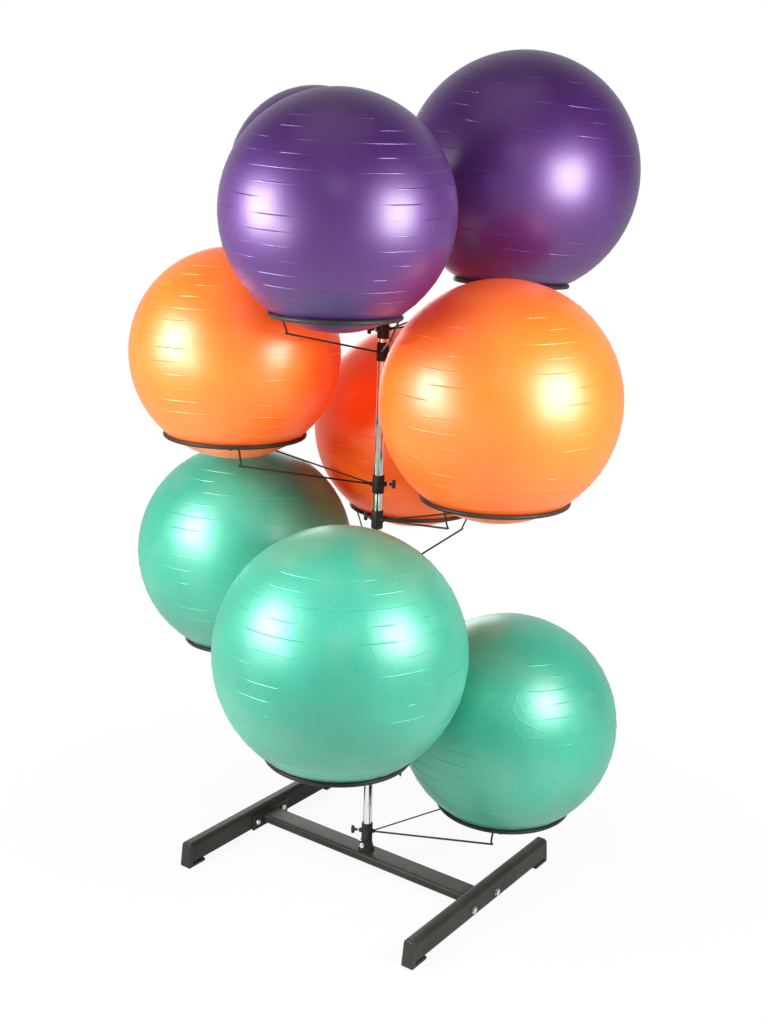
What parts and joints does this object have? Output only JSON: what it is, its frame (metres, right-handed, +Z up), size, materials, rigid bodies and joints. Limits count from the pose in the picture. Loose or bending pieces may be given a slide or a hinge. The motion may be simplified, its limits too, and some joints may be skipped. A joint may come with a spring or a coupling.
{
  "type": "exercise ball rack",
  "caption": "Free-standing rack: a chrome post on a black H-shaped floor frame carries wire arms with hoops, each hoop holding an inflated exercise ball in purple, orange or green.",
  "frame": {"origin": "on the floor, straight under the axis of the post", "axes": "+Z up along the post; +X along the cross beam, towards the right floor rail; the floor rails run along Y, and the picture looks from the -Y side"},
  "size_m": [1.5396, 1.4932, 2.5336],
  "materials": {
    "powder_coat": "satin black powder coat",
    "socket_black": "satin black coat",
    "cap_moulding": "matte black moulding",
    "grip_black": "matte black moulded grip",
    "post_chrome": "bright chrome plate",
    "bolt_zinc": "bright zinc plate",
    "ball_green": "pearlescent green vinyl",
    "ball_orange": "pearlescent orange vinyl",
    "ball_purple": "pearlescent purple vinyl"
  },
  "bodies": {
    "stand": {"rail_left": "powder_coat", "flange_plate_left": "powder_coat", "end_cap_left_near": "cap_moulding", "rail_bolt_left_near": "bolt_zinc", "rail_nut_left_near": "bolt_zinc", "end_cap_left_far": "cap_moulding", "rail_bolt_left_far": "bolt_zinc", "rail_nut_left_far": "bolt_zinc", "rail_right": "powder_coat", "flange_plate_right": "powder_coat", "end_cap_right_near": "cap_moulding", "rail_bolt_right_near": "bolt_zinc", "rail_nut_right_near": "bolt_zinc", "end_cap_right_far": "cap_moulding", "rail_bolt_right_far": "bolt_zinc", "rail_nut_right_far": "bolt_zinc", "cross_beam": "powder_coat", "post_socket": "socket_black", "set_screw_front": "bolt_zinc", "set_screw_side": "bolt_zinc"},
    "column": {"post": "post_chrome", "post_cap": "socket_black"},
    "holder_green_right": {"collar_green_right": "socket_black", "hoop_green_right": "powder_coat"},
    "screw_green_right": {"hand_screw_green_right": "grip_black"},
    "ball_green_right": {"ball_green_right": "ball_green"},
    "holder_green_front": {"collar_green_front": "socket_black", "hoop_green_front": "powder_coat"},
    "screw_green_front": {"hand_screw_green_front": "grip_black"},
    "ball_green_front": {"ball_green_front": "ball_green"},
    "holder_green_left": {"collar_green_left": "socket_black", "hoop_green_left": "powder_coat"},
    "screw_green_left": {"hand_screw_green_left": "grip_black"},
    "ball_green_left": {"ball_green_left": "ball_green"},
    "holder_orange_back": {"collar_orange_back": "socket_black", "hoop_orange_back": "powder_coat"},
    "screw_orange_back": {"hand_screw_orange_back": "grip_black"},
    "ball_orange_back": {"ball_orange_back": "ball_orange"},
    "holder_orange_right": {"collar_orange_right": "socket_black", "hoop_orange_right": "powder_coat"},
    "screw_orange_right": {"hand_screw_orange_right": "grip_black"},
    "ball_orange_right": {"ball_orange_right": "ball_orange"},
    "holder_orange_left": {"collar_orange_left": "socket_black", "hoop_orange_left": "powder_coat"},
    "screw_orange_left": {"hand_screw_orange_left": "grip_black"},
    "ball_orange_left": {"ball_orange_left": "ball_orange"},
    "holder_purple_front": {"collar_purple_front": "socket_black", "hoop_purple_front": "powder_coat"},
    "screw_purple_front": {"hand_screw_purple_front": "grip_black"},
    "ball_purple_front": {"ball_purple_front": "ball_purple"},
    "holder_purple_right": {"collar_purple_right": "socket_black", "hoop_purple_right": "powder_coat"},
    "screw_purple_right": {"hand_screw_purple_right": "grip_black"},
    "ball_purple_right": {"ball_purple_right": "ball_purple"},
    "holder_purple_back": {"collar_purple_back": "socket_black", "hoop_purple_back": "powder_coat"},
    "screw_purple_back": {"hand_screw_purple_back": "grip_black"},
    "ball_purple_back": {"ball_purple_back": "ball_purple"}
  },
  "joints": [
    {"name": "post_turn", "type": "hinge", "parent": "stand", "child": "column", "pos_m": [0, 0, 0.09], "axis": [0, 0, 1], "continuous": true},
    {"name": "swing_green_right", "type": "hinge", "parent": "column", "child": "holder_green_right", "pos_m": [0, 0, 0.118], "axis": [0, 0, 1], "range_deg": [0, 22]},
    {"name": "screw_green_right", "type": "hinge", "parent": "holder_green_right", "child": "screw_green_right", "pos_m": [-0.02611, -0.01477, 0.118], "axis": [-0.8704, -0.4924, 0], "range_deg": [0, 360]},
    {"name": "lift_green_right", "type": "slide", "parent": "holder_green_right", "child": "ball_green_right", "axis": [0.3678, 0.2081, 0.9063], "range_m": [0, 0.25]},
    {"name": "swing_green_front", "type": "hinge", "parent": "column", "child": "holder_green_front", "pos_m": [0, 0, 0.443], "axis": [0, 0, 1], "range_deg": [-0.25, 4.5]},
    {"name": "screw_green_front", "type": "hinge", "parent": "holder_green_front", "child": "screw_green_front", "pos_m": [-0.01206, 0.02747, 0.443], "axis": [-0.4019, 0.9157, 0], "range_deg": [0, 360]},
    {"name": "lift_green_front", "type": "slide", "parent": "holder_green_front", "child": "ball_green_front", "axis": [0.2584, -0.5886, 0.766], "range_m": [0, 0.2]},
    {"name": "swing_green_left", "type": "hinge", "parent": "column", "child": "holder_green_left", "pos_m": [0, 0, 0.6053], "axis": [0, 0, 1], "range_deg": [-0.5, 0.25]},
    {"name": "screw_green_left", "type": "hinge", "parent": "holder_green_left", "child": "screw_green_left", "pos_m": [0.02942, 0.00588, 0.6053], "axis": [0.9806, 0.1959, 0], "range_deg": [0, 360]},
    {"name": "lift_green_left", "type": "slide", "parent": "holder_green_left", "child": "ball_green_left", "axis": [-0.8369, 0.0541, 0.5446], "range_m": [0, 0.01]},
    {"name": "swing_orange_back", "type": "hinge", "parent": "column", "child": "holder_orange_back", "pos_m": [0, 0, 0.9574], "axis": [0, 0, 1], "range_deg": [-14.5, 2]},
    {"name": "screw_orange_back", "type": "hinge", "parent": "holder_orange_back", "child": "screw_orange_back", "pos_m": [0.01021, -0.02821, 0.9574], "axis": [0.3404, -0.9403, 0], "range_deg": [0, 360]},
    {"name": "lift_orange_back", "type": "slide", "parent": "holder_orange_back", "child": "ball_orange_back", "axis": [-0.253, 0.6988, 0.6691], "range_m": [0, 0.2]},
    {"name": "swing_orange_right", "type": "hinge", "parent": "column", "child": "holder_orange_right", "pos_m": [0, 0, 1.161], "axis": [0, 0, 1], "range_deg": [-1.25, 3.25]},
    {"name": "screw_orange_right", "type": "hinge", "parent": "holder_orange_right", "child": "screw_orange_right", "pos_m": [-0.0299, 0.00241, 1.161], "axis": [-0.9968, 0.0802, 0], "range_deg": [0, 360]},
    {"name": "lift_orange_right", "type": "slide", "parent": "holder_orange_right", "child": "ball_orange_right", "axis": [0.7048, -0.0567, 0.7071], "range_m": [0, 0.2]},
    {"name": "swing_orange_left", "type": "hinge", "parent": "column", "child": "holder_orange_left", "pos_m": [0, 0, 1.27], "axis": [0, 0, 1], "range_deg": [-4.5, 2.75]},
    {"name": "screw_orange_left", "type": "hinge", "parent": "holder_orange_left", "child": "screw_orange_left", "pos_m": [0.02345, 0.01872, 1.27], "axis": [0.7815, 0.6239, 0], "range_deg": [0, 360]},
    {"name": "lift_orange_left", "type": "slide", "parent": "holder_orange_left", "child": "ball_orange_left", "axis": [-0.5716, -0.4563, 0.682], "range_m": [0, 0.2]},
    {"name": "swing_purple_front", "type": "hinge", "parent": "column", "child": "holder_purple_front", "pos_m": [0, 0, 1.669], "axis": [0, 0, 1], "range_deg": [-2.75, 1.25]},
    {"name": "screw_purple_front", "type": "hinge", "parent": "holder_purple_front", "child": "screw_purple_front", "pos_m": [-0.00967, 0.0284, 1.669], "axis": [-0.3223, 0.9466, 0], "range_deg": [0, 360]},
    {"name": "lift_purple_front", "type": "slide", "parent": "holder_purple_front", "child": "ball_purple_front", "axis": [0, 0, 1], "range_m": [0, 0.2]},
    {"name": "swing_purple_right", "type": "hinge", "parent": "column", "child": "holder_purple_right", "pos_m": [0, 0, 1.7345], "axis": [0, 0, 1], "range_deg": [-5.75, 1]},
    {"name": "screw_purple_right", "type": "hinge", "parent": "holder_purple_right", "child": "screw_purple_right", "pos_m": [-0.01329, -0.02689, 1.7345], "axis": [-0.4431, -0.8965, 0], "range_deg": [0, 360]},
    {"name": "lift_purple_right", "type": "slide", "parent": "holder_purple_right", "child": "ball_purple_right", "axis": [0, 0, 1], "range_m": [0, 0.2]},
    {"name": "swing_purple_back", "type": "hinge", "parent": "column", "child": "holder_purple_back", "pos_m": [0, 0, 1.793], "axis": [0, 0, 1], "range_deg": [-1.25, 4.5]},
    {"name": "screw_purple_back", "type": "hinge", "parent": "holder_purple_back", "child": "screw_purple_back", "pos_m": [0.02768, -0.01158, 1.793], "axis": [0.9225, -0.3859, 0], "range_deg": [0, 360]},
    {"name": "lift_purple_back", "type": "slide", "parent": "holder_purple_back", "child": "ball_purple_back", "axis": [0, 0, 1], "range_m": [0, 0.2]}
  ]
}
